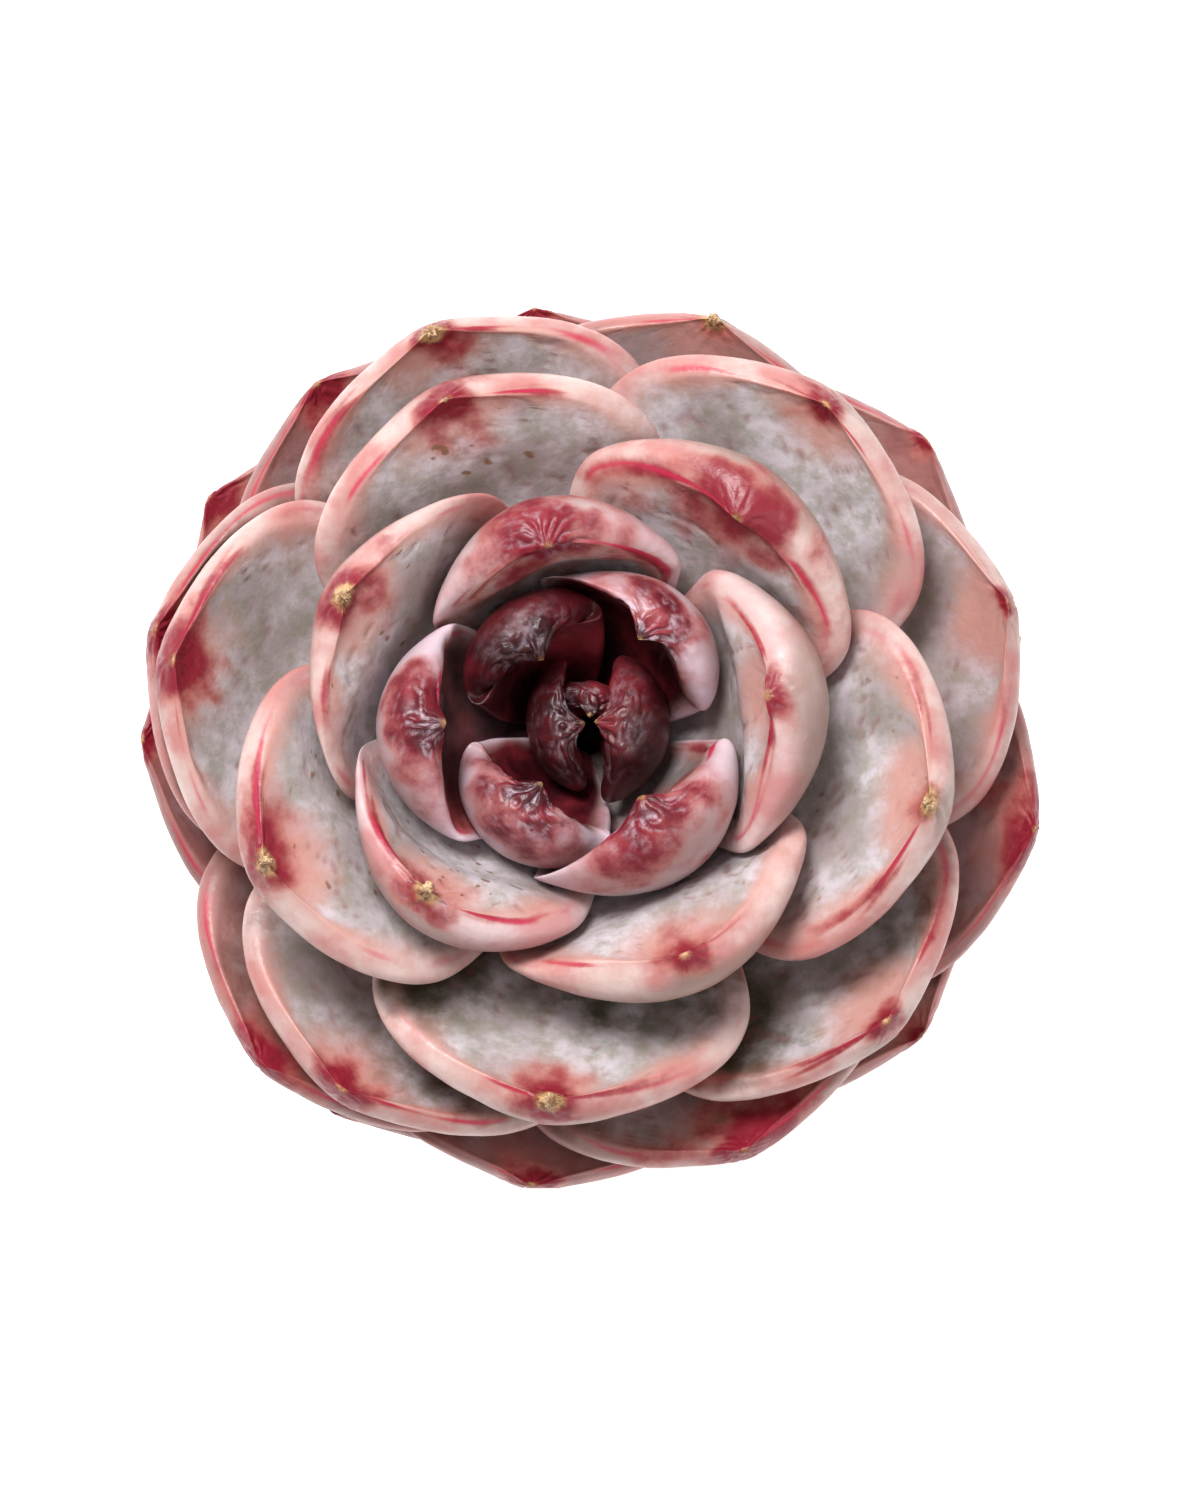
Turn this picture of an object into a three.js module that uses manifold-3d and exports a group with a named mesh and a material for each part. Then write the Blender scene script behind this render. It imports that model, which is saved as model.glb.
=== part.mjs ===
// A potted rosette succulent: terracotta pot, potting mix, rooted stem and spirally set leaves.
// Millimetres, +Z up, origin at the middle of the pot's foot.
import * as THREE from "three";
import { mergeVertices } from "three/addons/utils/BufferGeometryUtils.js";
import Module from "manifold-3d";

const wasm = await Module();
wasm.setup();

// ---- Driving dimensions ----

const clearance = 0.3; // left between pieces that touch

const pot = {
  height: 65,
  rimRadius: 37.5,
  rimHeight: 15,
  rimProud: 2.4, // how far the rim stands out from the body below it
  footRadius: 26,
  wall: 3.6,
  floor: 4.5,
  drainRadius: 5,
  edgeRound: 1,
  sides: 48,
};

const soil = {
  belowRim: 7.5,
  crownRise: 3, // the mix is banked up around the stem
  crownWidth: 4, // the bank's top reaches this far out from the stem's collar
  crownDip: 0.8, // and falls this much on the way
  bankFoot: 0.72, // where the bank starts, as a share of the mix's radius
  edgeDip: 1, // the mix is lower at the wall
  sides: 40,
};

const stem = {
  baseRadius: 6,
  topRadius: 1,
  collarRadius: 6.8, // the swelling where stem turns to root
  collarHeight: 2, // from the swelling to the soil surface, below it and above it
  tapDepth: 26, // taproot below the soil surface
  tapTipRadius: 1.2,
  shortOfHeart: 1.5, // the stem ends this far below the youngest leaf's seat
  sides: 16,
};

const roots = {
  count: 5,
  firstTurn: 23, // degrees round the stem
  depth: 5, // the highest root leaves the stem this far below the soil surface
  stagger: 2, // and the next two leave this much lower each
  radius: 1.5,
  tipRadius: 0.7,
  reach: 13,
  drop: 17,
  sway: 0.8, // to either side on the way
  sides: 6,
  steps: 6,
};

// A root's middle line, as shares of its reach, its sway and its drop.
const rootPath = [
  { out: 0.08, aside: 0, down: -0.06 },
  { out: 0.55, aside: 1, down: 0.22 },
  { out: 0.9, aside: -0.75, down: 0.6 },
  { out: 1, aside: 1.1, down: 1 },
];

const rosette = {
  leafCount: 38,
  liftOverRim: 6, // lowest leaf's seat above the rim
  seatSpan: 19, // height of stem that carries leaves
  divergence: 138.5, // degrees from one leaf to the next older one
  firstAzimuth: 68,
  seatGap: 0.7, // between the stem and the end of a leaf
  tipSpine: 1.3,
};

// The leaf at each stage of growth, youngest first. order counts leaves from the heart.
// reach and rise place the tip, from the axis and from the lowest seat; leave and arrive are
// the midrib's slopes at the seat and at the tip; belly is how far it bows out between them, as
// a share of the straight line.
const stages = [
  { order: 0, reach: 1.5, rise: 27.5, leave: 55, arrive: 125, belly: 0.5 },
  { order: 2, reach: 3.9, rise: 31, leave: 48, arrive: 148, belly: 0.62 },
  { order: 4, reach: 9, rise: 36, leave: 50, arrive: 150, belly: 0.6 },
  { order: 7, reach: 14.5, rise: 39.5, leave: 45, arrive: 140, belly: 0.54 },
  { order: 10, reach: 23.5, rise: 41, leave: 42, arrive: 108, belly: 0.46 },
  { order: 13, reach: 31, rise: 39.5, leave: 35, arrive: 90, belly: 0.42 },
  { order: 16, reach: 40, rise: 36, leave: 28, arrive: 74, belly: 0.4 },
  { order: 20, reach: 47.5, rise: 29, leave: 18, arrive: 58, belly: 0.38 },
  { order: 29, reach: 52, rise: 15.5, leave: 1, arrive: 38, belly: 0.38 },
  { order: 37, reach: 51, rise: 4, leave: -11, arrive: 20, belly: 0.38 },
];

// The blade at each stage: curl is the radius that the leaf is rolled to across its width, as a
// share of its half width, and plump is how far its upper face swells where nothing presses it.
const blades = [
  { order: 0, halfWidth: 6, thick: 2.6, curl: 1, plump: 0.4 },
  { order: 2, halfWidth: 9, thick: 3.8, curl: 1, plump: 1 },
  { order: 4, halfWidth: 10.7, thick: 4.4, curl: 0.95, plump: 2.4 },
  { order: 7, halfWidth: 13.8, thick: 5.2, curl: 1.05, plump: 3.6 },
  { order: 10, halfWidth: 17, thick: 5.8, curl: 1.3, plump: 4.2 },
  { order: 13, halfWidth: 19.2, thick: 6.4, curl: 1.8, plump: 3.4 },
  { order: 16, halfWidth: 21.5, thick: 6.2, curl: 2.4, plump: 2 },
  { order: 20, halfWidth: 22, thick: 6, curl: 3.2, plump: 0.8 },
  { order: 29, halfWidth: 22, thick: 5.4, curl: 5, plump: 0 },
  { order: 37, halfWidth: 20.5, thick: 5, curl: 8, plump: 0 },
];

// How each leaf strays from the even spiral, youngest first: degrees round the axis,
// millimetres outwards at the tip, and degrees that its tip leans further in.
const strays = [
  [4, 0, 0], [-20, -1.5, 0], [10, -2, 0], [3, 3, 0], [-26, 1, -10], [15, 0, -26], [5, 4, -20],
  [-15, -2.5, -6], [7, 2, -22], [-6, 6, -36], [-8, -3, 4], [3, 3.5, -35], [2, 0.5, -15],
  [-16, -3, 25], [-2, 5, -24], [0, 2, -14], [-10, -1, -10], [2, 0.5, -5], [12, 0.5, 0],
  [-8, 1, 0], [-3, 0, 0], [15, 0, 0], [1, 0, 0], [3, 0, 0], [15, 0, 0], [0, 0, 0],
  [4, -1, 0], [18, 1.5, 0], [2, 1, 0], [3, 0, 0], [0, 0, 0], [0, 1, 0], [0, 0, 0],
  [0, 0, 0], [0, 0.5, 0], [0, 1, 0], [0, 1.5, 0], [-6, 3, 0],
];

// Half of the leaf's cross-section, from the middle of the upper face round the margin to the
// keel. across is a share of the half width and deep a share of the thickness.
const section = [
  { across: 0, deep: 0 },
  { across: 0.38, deep: 0 },
  { across: 0.7, deep: -0.01 },
  { across: 0.9, deep: -0.03 },
  { across: 1, deep: 0.24 },
  { across: 0.87, deep: 0.6 },
  { across: 0.48, deep: 0.88 },
  { across: 0, deep: 1 },
];

// Rings of the leaf from its seat to its tip, as shares of the midrib's length.
const ringPlaces = [0.015, 0.19, 0.37, 0.54, 0.69, 0.82, 0.92, 0.983];
const widest = 0.68; // share of the length at which the leaf is widest
const flare = 1.15; // how late it widens from the seat
const seatWidth = 0.17; // the seat's width as a share of the greatest
const seatThickness = 0.28; // the seat's thickness as a share of the greatest
const thickening = 0.12; // share of the length from which the leaf thickens
const thickest = 0.76; // share of the length at which the leaf is thickest
const rounding = 3; // how long it stays thick towards its tip
const tipBluntness = 1.025; // the share of the length at which the thickness would reach nothing
const blunting = 2.2; // how full the outline stays between its widest place and its tip
const shoulder = 0.68; // below 1, the outline is rounder just before the tip

// Where the plump upper face swells, along the leaf and across from its middle to its margin.
const swelling = { starts: 0.2, full: 0.75, fades: 0.82, ends: 1, across: [1, 0.94, 0.7, 0.3] };

// Leaves sink where younger ones press on them.
const press = {
  passes: 24,
  reach: 16, // how deep into a leaf a younger one is felt
  leastVolume: 1e-4, // a touch smaller than this is none
  nudge: 0.2, // the least that a touched face sinks
  patch: 3, // a dent sinks all of the face this near to it
  patchGrowth: 0.4, // and reaches this much further on each pass
  slope: 0.4, // beyond that it may bend this steeply, per millimetre along it
  thinning: 0.55, // share of its thickness that a pressed leaf keeps
  margin: 0.1, // sinks this much further than it needs
};

const rosetteBase = pot.height + rosette.liftOverRim;
const radians = THREE.MathUtils.degToRad;
const { clamp, lerp, smoothstep } = THREE.MathUtils;

// ---- Solids ----

function positionsOnly(geometry) {
  const bare = new THREE.BufferGeometry();
  bare.setAttribute("position", geometry.getAttribute("position").clone());
  if (geometry.index) bare.setIndex(geometry.index);
  return bare;
}

function solidOf(geometry) {
  const merged = mergeVertices(positionsOnly(geometry), 1e-4);
  return new wasm.Manifold(
    new wasm.Mesh({
      numProp: 3,
      vertProperties: new Float32Array(merged.attributes.position.array),
      triVerts: new Uint32Array(merged.index.array),
    }),
  );
}

function geometryOf(solid) {
  const mesh = solid.getMesh();
  const geometry = new THREE.BufferGeometry();
  geometry.setAttribute("position", new THREE.BufferAttribute(mesh.vertProperties, 3));
  geometry.setIndex(new THREE.BufferAttribute(mesh.triVerts, 1));
  geometry.computeVertexNormals();
  return geometry;
}

// A turned shape from [radius, height] points, listed upwards on the outside.
function turned(profile, sides) {
  const points = profile.map(([radius, height]) => new THREE.Vector2(radius, height));
  return new THREE.LatheGeometry(points, sides).rotateX(Math.PI / 2);
}

function named(name, geometry, material) {
  const mesh = new THREE.Mesh(geometry, material);
  mesh.name = name;
  return mesh;
}

// ---- Pot ----

const bodyTopRadius = pot.rimRadius - pot.rimProud;
const innerTopRadius = bodyTopRadius - pot.wall;
const innerFootRadius = pot.footRadius - pot.wall;

function potGeometry() {
  const round = pot.edgeRound;
  const ledge = pot.height - pot.rimHeight;
  return turned(
    [
      [pot.drainRadius, 0],
      [pot.footRadius - round, 0],
      [pot.footRadius, round],
      [bodyTopRadius, ledge],
      [pot.rimRadius - round, ledge],
      [pot.rimRadius, ledge + round],
      [pot.rimRadius, pot.height - round],
      [pot.rimRadius - round, pot.height],
      [innerTopRadius + round, pot.height],
      [innerTopRadius, pot.height - round],
      [innerFootRadius, pot.floor],
      [pot.drainRadius, pot.floor],
      [pot.drainRadius, 0],
    ],
    pot.sides,
  );
}

// ---- Stem and roots ----

const soilTop = pot.height - soil.belowRim;
const soilCrown = soilTop + soil.crownRise;
const stemTop = rosetteBase + rosette.seatSpan - stem.shortOfHeart;

function stemRadiusAt(height) {
  const share = clamp((height - soilCrown) / (stemTop - soilCrown), 0, 1);
  return lerp(stem.baseRadius, stem.topRadius, share);
}

// grow swells the whole shape, which gives the hole it leaves in the mix.
function stemSolid(grow) {
  const tapTip = soilTop - stem.tapDepth;
  const trunk = turned(
    [
      [0, tapTip - grow],
      [stem.tapTipRadius + grow, tapTip - grow],
      [(stem.collarRadius + stem.tapTipRadius) / 2 + grow, (tapTip + soilTop) / 2],
      [stem.collarRadius + grow, soilTop - stem.collarHeight],
      [stem.baseRadius + grow, soilCrown + stem.collarHeight],
      [stem.topRadius + grow, stemTop],
      [0, stemTop + stem.topRadius / 2],
    ],
    stem.sides,
  );
  let solid = solidOf(trunk);
  for (let i = 0; i < roots.count; i++) {
    const start = soilTop - roots.depth - roots.stagger * (i % 3);
    const points = rootPath.map(
      ({ out, aside, down }) =>
        new THREE.Vector3(roots.reach * out, roots.sway * aside, start - roots.drop * down),
    );
    const path = new THREE.CatmullRomCurve3(points);
    const root = taperedTube(path, roots.radius + grow, roots.tipRadius + grow);
    const turn = roots.firstTurn + (360 * i) / roots.count;
    solid = solid.add(solidOf(root.rotateZ(radians(turn))));
  }
  return solid;
}

// A closed tube along a path, thinning towards its end, made from a capped cylinder.
function taperedTube(path, startRadius, endRadius) {
  const tube = new THREE.CylinderGeometry(1, 1, 1, roots.sides, roots.steps);
  const place = tube.getAttribute("position");
  const up = new THREE.Vector3(0, 0, 1);
  for (let i = 0; i < place.count; i++) {
    const along = clamp(place.getY(i) + 0.5, 0, 1);
    const tangent = path.getTangentAt(along);
    const side = new THREE.Vector3().crossVectors(tangent, up).normalize();
    const over = new THREE.Vector3().crossVectors(side, tangent);
    const radius = lerp(startRadius, endRadius, along);
    const point = path
      .getPointAt(along)
      .addScaledVector(side, place.getX(i) * radius)
      .addScaledVector(over, place.getZ(i) * radius);
    place.setXYZ(i, point.x, point.y, point.z);
  }
  return tube;
}

// ---- Potting mix ----

function soilSolid() {
  const wallRadiusAt = (height) => {
    const share = (height - pot.floor) / (pot.height - pot.edgeRound - pot.floor);
    return lerp(innerFootRadius, innerTopRadius, share) - clearance;
  };
  const bottom = pot.floor + clearance;
  const plug = turned(
    [
      [0, bottom],
      [wallRadiusAt(bottom), bottom],
      [wallRadiusAt(soilTop - soil.edgeDip), soilTop - soil.edgeDip],
      [wallRadiusAt(soilTop) * soil.bankFoot, soilTop],
      [stem.collarRadius + soil.crownWidth, soilCrown - soil.crownDip],
      [0, soilCrown],
    ],
    soil.sides,
  );
  return solidOf(plug).subtract(stemSolid(clearance));
}

// ---- Leaves ----

// A leaf's growth at its order, blended smoothly between the two listed stages around it.
function growthAt(order) {
  return { ...blendedAt(order, stages), ...blendedAt(order, blades) };
}

function blendedAt(order, list) {
  const next = Math.max(1, list.findIndex((stage) => stage.order >= order));
  const at = (i) => list[clamp(i, 0, list.length - 1)];
  const [before, from, to, after] = [at(next - 2), at(next - 1), at(next), at(next + 1)];
  const share = (order - from.order) / (to.order - from.order);
  const grown = {};
  for (const key of Object.keys(from)) {
    const span = to.order - from.order;
    const slope = (a, b) => (b.order === a.order ? 0 : ((b[key] - a[key]) / (b.order - a.order)) * span);
    const startSlope = (slope(before, from) + slope(from, to)) / (before === from ? 1 : 2);
    const endSlope = (slope(from, to) + slope(to, after)) / (after === to ? 1 : 2);
    const s2 = share * share;
    const s3 = s2 * share;
    grown[key] =
      (2 * s3 - 3 * s2 + 1) * from[key] +
      (s3 - 2 * s2 + share) * startSlope +
      (3 * s2 - 2 * s3) * to[key] +
      (s3 - s2) * endSlope;
  }
  return grown;
}

function seatHeight(order) {
  const share = 1 - order / (rosette.leafCount - 1);
  return rosetteBase + rosette.seatSpan * share;
}

// The upper face's middle line, in the plane of radius and height.
function midribOf(order, grown) {
  const height = seatHeight(order);
  const seat = new THREE.Vector2(stemRadiusAt(height) + rosette.seatGap, height);
  const tip = new THREE.Vector2(grown.reach + strayOf(order).outwards, rosetteBase + grown.rise);
  const handle = grown.belly * seat.distanceTo(tip);
  const leave = radians(grown.leave);
  const arrive = radians(grown.arrive + strayOf(order).lean);
  return new THREE.CubicBezierCurve(
    seat,
    new THREE.Vector2(seat.x + handle * Math.cos(leave), seat.y + handle * Math.sin(leave)),
    new THREE.Vector2(tip.x - handle * Math.cos(arrive), tip.y - handle * Math.sin(arrive)),
    tip,
  );
}

function strayOf(order) {
  const [turn, outwards, lean] = strays[order] ?? [0, 0, 0];
  return { turn, outwards, lean };
}

function widthShare(along) {
  if (along < widest) {
    const rise = Math.sin((Math.PI / 2) * (along / widest));
    return lerp(seatWidth, 1, Math.pow(rise, flare));
  }
  return Math.pow(1 - Math.pow((along - widest) / (1 - widest), blunting), shoulder);
}

// Thin where younger leaves cover it, swelling to its thickest and then rounding off.
function thicknessShare(along) {
  if (along < thickest) {
    return lerp(seatThickness, 1, smoothstep(along, thickening, thickest));
  }
  const beyond = (along - thickest) / (tipBluntness - thickest);
  return Math.sqrt(Math.max(0, 1 - Math.pow(beyond, rounding)));
}

const columns = 2 * (section.length - 1);
const rings = ringPlaces.length + 1;
const upperHalf = 3; // the section's stations up to this one belong to the upper face

const halfOf = (column) => Math.min(column, columns - column);

// The column of the upper face that lies over a column of the underside.
function faceOver(column) {
  if (halfOf(column) <= upperHalf) return column;
  const half = section.length - 1 - halfOf(column);
  return column < section.length ? half : (columns - half) % columns;
}

// How far each station has sunk before anything presses on the leaf: a plump face stands proud.
function plumpGive(plump) {
  return Array.from({ length: rings + 1 }, (_, ring) => {
    const along = ring === 0 || ring === rings ? 0 : ringPlaces[ringPlaces.length - ring];
    const swell = swellAlong(along);
    return Array.from({ length: columns }, (_, column) => -plump * swell * swellAcross(column));
  });
}

function swellAlong(along) {
  const rise = smoothstep(along, swelling.starts, swelling.full);
  return rise * (1 - smoothstep(along, swelling.fades, swelling.ends));
}

const swellAcross = (column) => swelling.across[halfOf(column)] ?? 0;

// The leaf's stations, ring by ring from tip to seat: where each lies, and which way is down
// through the leaf there. give says how far each has sunk.
function stationsOf(order, give) {
  const grown = growthAt(order);
  const midrib = midribOf(order, grown);
  const curl = grown.curl * grown.halfWidth;
  const axis = new THREE.Vector3(0, 0, 1);
  const azimuth = rosette.firstAzimuth + rosette.divergence * order + strayOf(order).turn;
  return give.map((row, ring) => {
    const isTip = ring === 0;
    const isSeat = ring === rings;
    const along = isTip ? 1 : isSeat ? 0 : ringPlaces[ringPlaces.length - ring];
    const centre = midrib.getPointAt(along);
    const tangent = midrib.getTangentAt(along);
    if (isTip) centre.addScaledVector(tangent, rosette.tipSpine);
    const halfWidth = isTip || isSeat ? 0 : grown.halfWidth * widthShare(along);
    const thick = isTip ? 0 : grown.thick * thicknessShare(along);
    return row.map((_, column) => {
      const { across, deep } = section[halfOf(column)];
      const sunk = row[faceOver(column)];
      const left = Math.max(press.thinning * thick, thick - sunk);
      const side = column < section.length ? 1 : -1;
      const roll = (side * across * halfWidth) / curl;
      const depth = sunk + left * (isSeat ? 0.5 : deep);
      const lift = curl - (curl + depth) * Math.cos(roll);
      const point = new THREE.Vector3(
        centre.x - tangent.y * lift,
        -(curl + depth) * Math.sin(roll),
        centre.y + tangent.x * lift,
      );
      const down = new THREE.Vector3(
        tangent.y * Math.cos(roll),
        -Math.sin(roll),
        -tangent.x * Math.cos(roll),
      );
      point.applyAxisAngle(axis, radians(azimuth));
      down.applyAxisAngle(axis, radians(azimuth));
      return { point, down };
    });
  });
}

// Each leaf is a sphere drawn out along its midrib: the poles become the tip and the seat.
function leafGeometry(stations) {
  const leaf = new THREE.SphereGeometry(1, columns, rings);
  const place = leaf.getAttribute("position");
  for (let ring = 0; ring <= rings; ring++) {
    for (let column = 0; column <= columns; column++) {
      const { point } = stations[ring][column % columns];
      place.setXYZ(ring * (columns + 1) + column, point.x, point.y, point.z);
    }
  }
  return leaf;
}

// The leaf with its skin moved outwards, to keep the room round it.
function swollen(geometry) {
  const merged = mergeVertices(positionsOnly(geometry), 1e-4);
  merged.computeVertexNormals();
  const place = merged.getAttribute("position");
  const normal = merged.getAttribute("normal");
  for (let i = 0; i < place.count; i++) {
    place.setXYZ(
      i,
      place.getX(i) + normal.getX(i) * clearance,
      place.getY(i) + normal.getY(i) * clearance,
      place.getZ(i) + normal.getZ(i) * clearance,
    );
  }
  const mesh = new THREE.Mesh(merged, new THREE.MeshBasicMaterial({ side: THREE.DoubleSide }));
  return { mesh, solid: solidOf(merged) };
}

// Sinks the leaf's stations until it is clear of the younger leaves.
function pressedLeaf(order, younger) {
  const give = plumpGive(growthAt(order).plump);
  let stations = stationsOf(order, give);
  for (let pass = 0; pass < press.passes; pass++) {
    const solid = solidOf(leafGeometry(stations));
    const touches = younger
      .map((leaf) => ({ leaf, overlap: solid.intersect(leaf.solid) }))
      .filter(({ overlap }) => overlap.volume() > press.leastVolume);
    if (touches.length === 0) break;
    const dents = touches.flatMap(({ overlap }) => cornersOf(overlap));
    dents.push(...dentsIn(stations, touches.map(({ leaf }) => leaf.mesh)));
    sink(give, stations, dents, press.patch + pass * press.patchGrowth);
    stations = stationsOf(order, give);
  }
  return leafGeometry(stations);
}

function cornersOf(overlap) {
  const mesh = overlap.getMesh();
  return Array.from({ length: mesh.numVert }, (_, i) => ({
    point: new THREE.Vector3().fromArray(mesh.vertProperties, i * mesh.numProp),
    depth: press.nudge,
  }));
}

// Where, and how deep, younger leaves lie below the upper face. Feels at the stations and
// halfway between them.
function dentsIn(stations, meshes) {
  const dents = [];
  const caster = new THREE.Raycaster();
  caster.far = 2 * press.reach;
  for (let ring = 0; ring <= 2 * rings; ring++) {
    for (let column = 0; column < 2 * columns; column++) {
      if (halfOf(column / 2) > upperHalf + 1) continue;
      const corners = [
        stations[Math.floor(ring / 2)][Math.floor(column / 2)],
        stations[Math.ceil(ring / 2)][Math.floor(column / 2)],
        stations[Math.floor(ring / 2)][Math.ceil(column / 2) % columns],
        stations[Math.ceil(ring / 2)][Math.ceil(column / 2) % columns],
      ];
      const point = new THREE.Vector3();
      const down = new THREE.Vector3();
      for (const corner of corners) {
        point.addScaledVector(corner.point, 1 / corners.length);
        down.add(corner.down);
      }
      down.normalize();
      caster.set(point.clone().addScaledVector(down, -press.reach), down);
      let depth = 0;
      for (const hit of caster.intersectObjects(meshes)) {
        const leaves = hit.face.normal.dot(down) > 0;
        if (leaves) depth = Math.max(depth, hit.distance - press.reach);
      }
      if (depth > 0) dents.push({ point, depth: depth + press.margin });
    }
  }
  return dents;
}

// Spreads the dents smoothly over the upper face.
function sink(give, stations, dents, patch) {
  for (let ring = 1; ring <= rings; ring++) {
    for (let column = 0; column < columns; column++) {
      if (halfOf(column) > upperHalf) continue;
      const here = stations[ring][column].point;
      let most = 0;
      for (const { point, depth } of dents) {
        const beyond = Math.max(0, here.distanceTo(point) - patch);
        most = Math.max(most, depth - press.slope * beyond);
      }
      give[ring][column] += most;
    }
  }
  give[rings].fill(Math.max(...give[rings]));
}

// ---- Assembly ----

const terracotta = new THREE.MeshStandardMaterial({ color: 0xb5694a, roughness: 0.85, metalness: 0 });
const pottingMix = new THREE.MeshStandardMaterial({ color: 0x4a3a2e, roughness: 1, metalness: 0 });
const bark = new THREE.MeshStandardMaterial({ color: 0x8a7358, roughness: 0.9, metalness: 0 });
const heartSkin = new THREE.Color(0x8c3440);
const outerSkin = new THREE.Color(0xb9aeb4);

function leafMaterial(order) {
  const share = Math.min(1, order / 14);
  const color = heartSkin.clone().lerp(outerSkin, share);
  return new THREE.MeshStandardMaterial({ color, roughness: 0.55, metalness: 0 });
}

const plant = new THREE.Group();
plant.add(named("pot", potGeometry(), terracotta));
plant.add(named("potting_mix", geometryOf(soilSolid()), pottingMix));
plant.add(named("rooted_stem", geometryOf(stemSolid(0)), bark));
const younger = [];
for (let order = 0; order < rosette.leafCount; order++) {
  const name = "leaf_" + String(order + 1).padStart(2, "0");
  const geometry = pressedLeaf(order, younger);
  younger.push(swollen(geometry));
  plant.add(named(name, geometry, leafMaterial(order)));
}

export default plant;
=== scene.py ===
import math

import bpy
import numpy as np
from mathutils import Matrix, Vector, noise
from mathutils.bvhtree import BVHTree


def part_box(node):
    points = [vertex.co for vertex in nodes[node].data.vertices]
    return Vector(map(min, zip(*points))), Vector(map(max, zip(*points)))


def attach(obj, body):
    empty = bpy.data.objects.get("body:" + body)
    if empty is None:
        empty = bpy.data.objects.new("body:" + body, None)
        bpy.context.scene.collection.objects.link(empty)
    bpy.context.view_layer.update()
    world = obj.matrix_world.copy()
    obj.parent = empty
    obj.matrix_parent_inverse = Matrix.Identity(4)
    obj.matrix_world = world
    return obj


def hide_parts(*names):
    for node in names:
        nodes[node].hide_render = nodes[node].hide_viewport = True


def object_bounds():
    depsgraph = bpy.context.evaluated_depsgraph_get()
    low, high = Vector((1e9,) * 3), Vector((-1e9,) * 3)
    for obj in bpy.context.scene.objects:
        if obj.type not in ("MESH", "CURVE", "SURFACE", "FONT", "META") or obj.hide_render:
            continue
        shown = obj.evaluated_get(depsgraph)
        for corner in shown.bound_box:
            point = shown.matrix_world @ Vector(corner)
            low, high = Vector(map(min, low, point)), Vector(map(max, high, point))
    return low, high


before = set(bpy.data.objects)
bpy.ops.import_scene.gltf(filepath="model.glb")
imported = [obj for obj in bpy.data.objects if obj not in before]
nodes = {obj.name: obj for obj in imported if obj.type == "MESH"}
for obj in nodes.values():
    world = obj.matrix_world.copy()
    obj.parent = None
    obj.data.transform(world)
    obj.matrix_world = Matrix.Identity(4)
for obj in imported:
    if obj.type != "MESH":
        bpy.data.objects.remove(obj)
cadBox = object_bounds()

bpy.ops.object.select_all(action="DESELECT")
mm = 0.001
leafNames = sorted(name for name in nodes if name.startswith("leaf_"))
print("frame loaded:", len(nodes), "nodes,", len(leafNames), "leaves")


# small helpers

def smoothStep(low, high, value):
    share = np.clip((value - low) / (high - low), 0, 1)
    return share * share * (3 - 2 * share)


def bell(value, middle, width):
    return np.exp(-(((value - middle) / width) ** 2))


def noiseOver(points, scale, seed=0.0):  # one soft noise value, -1 to 1, for each point in mm
    shift = Vector((seed * 7.3, seed * 3.1, seed * 5.7))
    return np.array([noise.noise(Vector(point) * scale + shift) for point in points])


def onlySelect(piece):
    bpy.ops.object.select_all(action="DESELECT")
    piece.select_set(True)
    bpy.context.view_layer.objects.active = piece


def applyModifier(piece, kind, **settings):
    onlySelect(piece)
    modifier = piece.modifiers.new(kind.title(), kind)
    for name, value in settings.items():
        setattr(modifier, name, value)
    bpy.ops.object.modifier_apply(modifier=modifier.name)


def cornersOf(mesh):
    corners = np.empty(len(mesh.vertices) * 3)
    mesh.vertices.foreach_get("co", corners)
    return corners.reshape(-1, 3)


def moveCorners(mesh, corners):
    mesh.vertices.foreach_set("co", corners.ravel())
    mesh.update()


def withinCad(corners):  # metres: nothing stands proud of the CAD model's box
    return np.clip(corners, np.array(cadBox[0]), np.array(cadBox[1]))


def normalsOf(mesh):
    normals = np.empty(len(mesh.vertices) * 3)
    mesh.vertex_normals.foreach_get("vector", normals)
    return normals.reshape(-1, 3)


def writeMask(mesh, name, values):
    mask = mesh.attributes.new(name, "FLOAT", "POINT")
    mask.data.foreach_set("value", np.clip(values, 0, 1).astype(np.float32))


def finishPiece(piece, material, node=None):
    piece.data.materials.clear()
    piece.data.materials.append(material)
    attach(piece, "root")
    if node:
        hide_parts(node)


# material helpers

def tint(red, green, blue):  # a screen colour as the linear values that nodes take
    return tuple((value / 255 / 12.92) if value <= 10 else ((value / 255 + 0.055) / 1.055) ** 2.4
                 for value in (red, green, blue))


def startMaterial(name, roughness):
    material = bpy.data.materials.new(name)
    material.use_nodes = True
    tree = material.node_tree
    shader = tree.nodes["Principled BSDF"]
    shader.inputs["Roughness"].default_value = roughness
    return material, tree, shader


def addNoise(tree, scale, detail=3.0, roughness=0.55, stretch=None):
    place = tree.nodes.new("ShaderNodeTexCoord").outputs["Object"]
    if stretch:
        mapping = tree.nodes.new("ShaderNodeMapping")
        mapping.inputs["Scale"].default_value = stretch
        tree.links.new(place, mapping.inputs["Vector"])
        place = mapping.outputs["Vector"]
    pattern = tree.nodes.new("ShaderNodeTexNoise")
    pattern.inputs["Scale"].default_value = scale
    pattern.inputs["Detail"].default_value = detail
    pattern.inputs["Roughness"].default_value = roughness
    tree.links.new(place, pattern.inputs["Vector"])
    return pattern.outputs["Fac"]


def readMask(tree, name):
    mask = tree.nodes.new("ShaderNodeAttribute")
    mask.attribute_name = name
    return mask.outputs["Fac"]


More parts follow.
